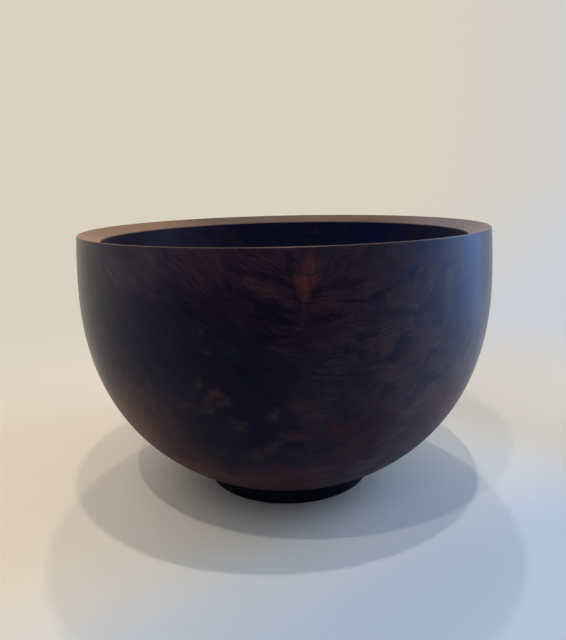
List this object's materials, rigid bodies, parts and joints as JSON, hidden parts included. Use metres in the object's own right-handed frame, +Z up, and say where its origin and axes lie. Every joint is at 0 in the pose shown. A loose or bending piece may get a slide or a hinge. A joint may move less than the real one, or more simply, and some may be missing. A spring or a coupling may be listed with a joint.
{
  "type": "wooden bowl",
  "caption": "Large round turned bowl of dark figured wood with a thick, inward-sloping rim, on a low separately turned foot ring.",
  "frame": {"origin": "on the surface that the bowl stands on, under the middle of the foot ring", "axes": "+Z up along the turning axis; -Y faces the side with the feather figure"},
  "size_m": [0.3446, 0.3446, 0.2223],
  "materials": {
    "figured_wood": "satin oil over dark brown wood with red-brown crotch figure",
    "black_wood": "satin oil over near-black wood"
  },
  "bodies": {
    "root": {"bowl_body": "figured_wood", "foot_ring": "black_wood"}
  },
  "joints": []
}
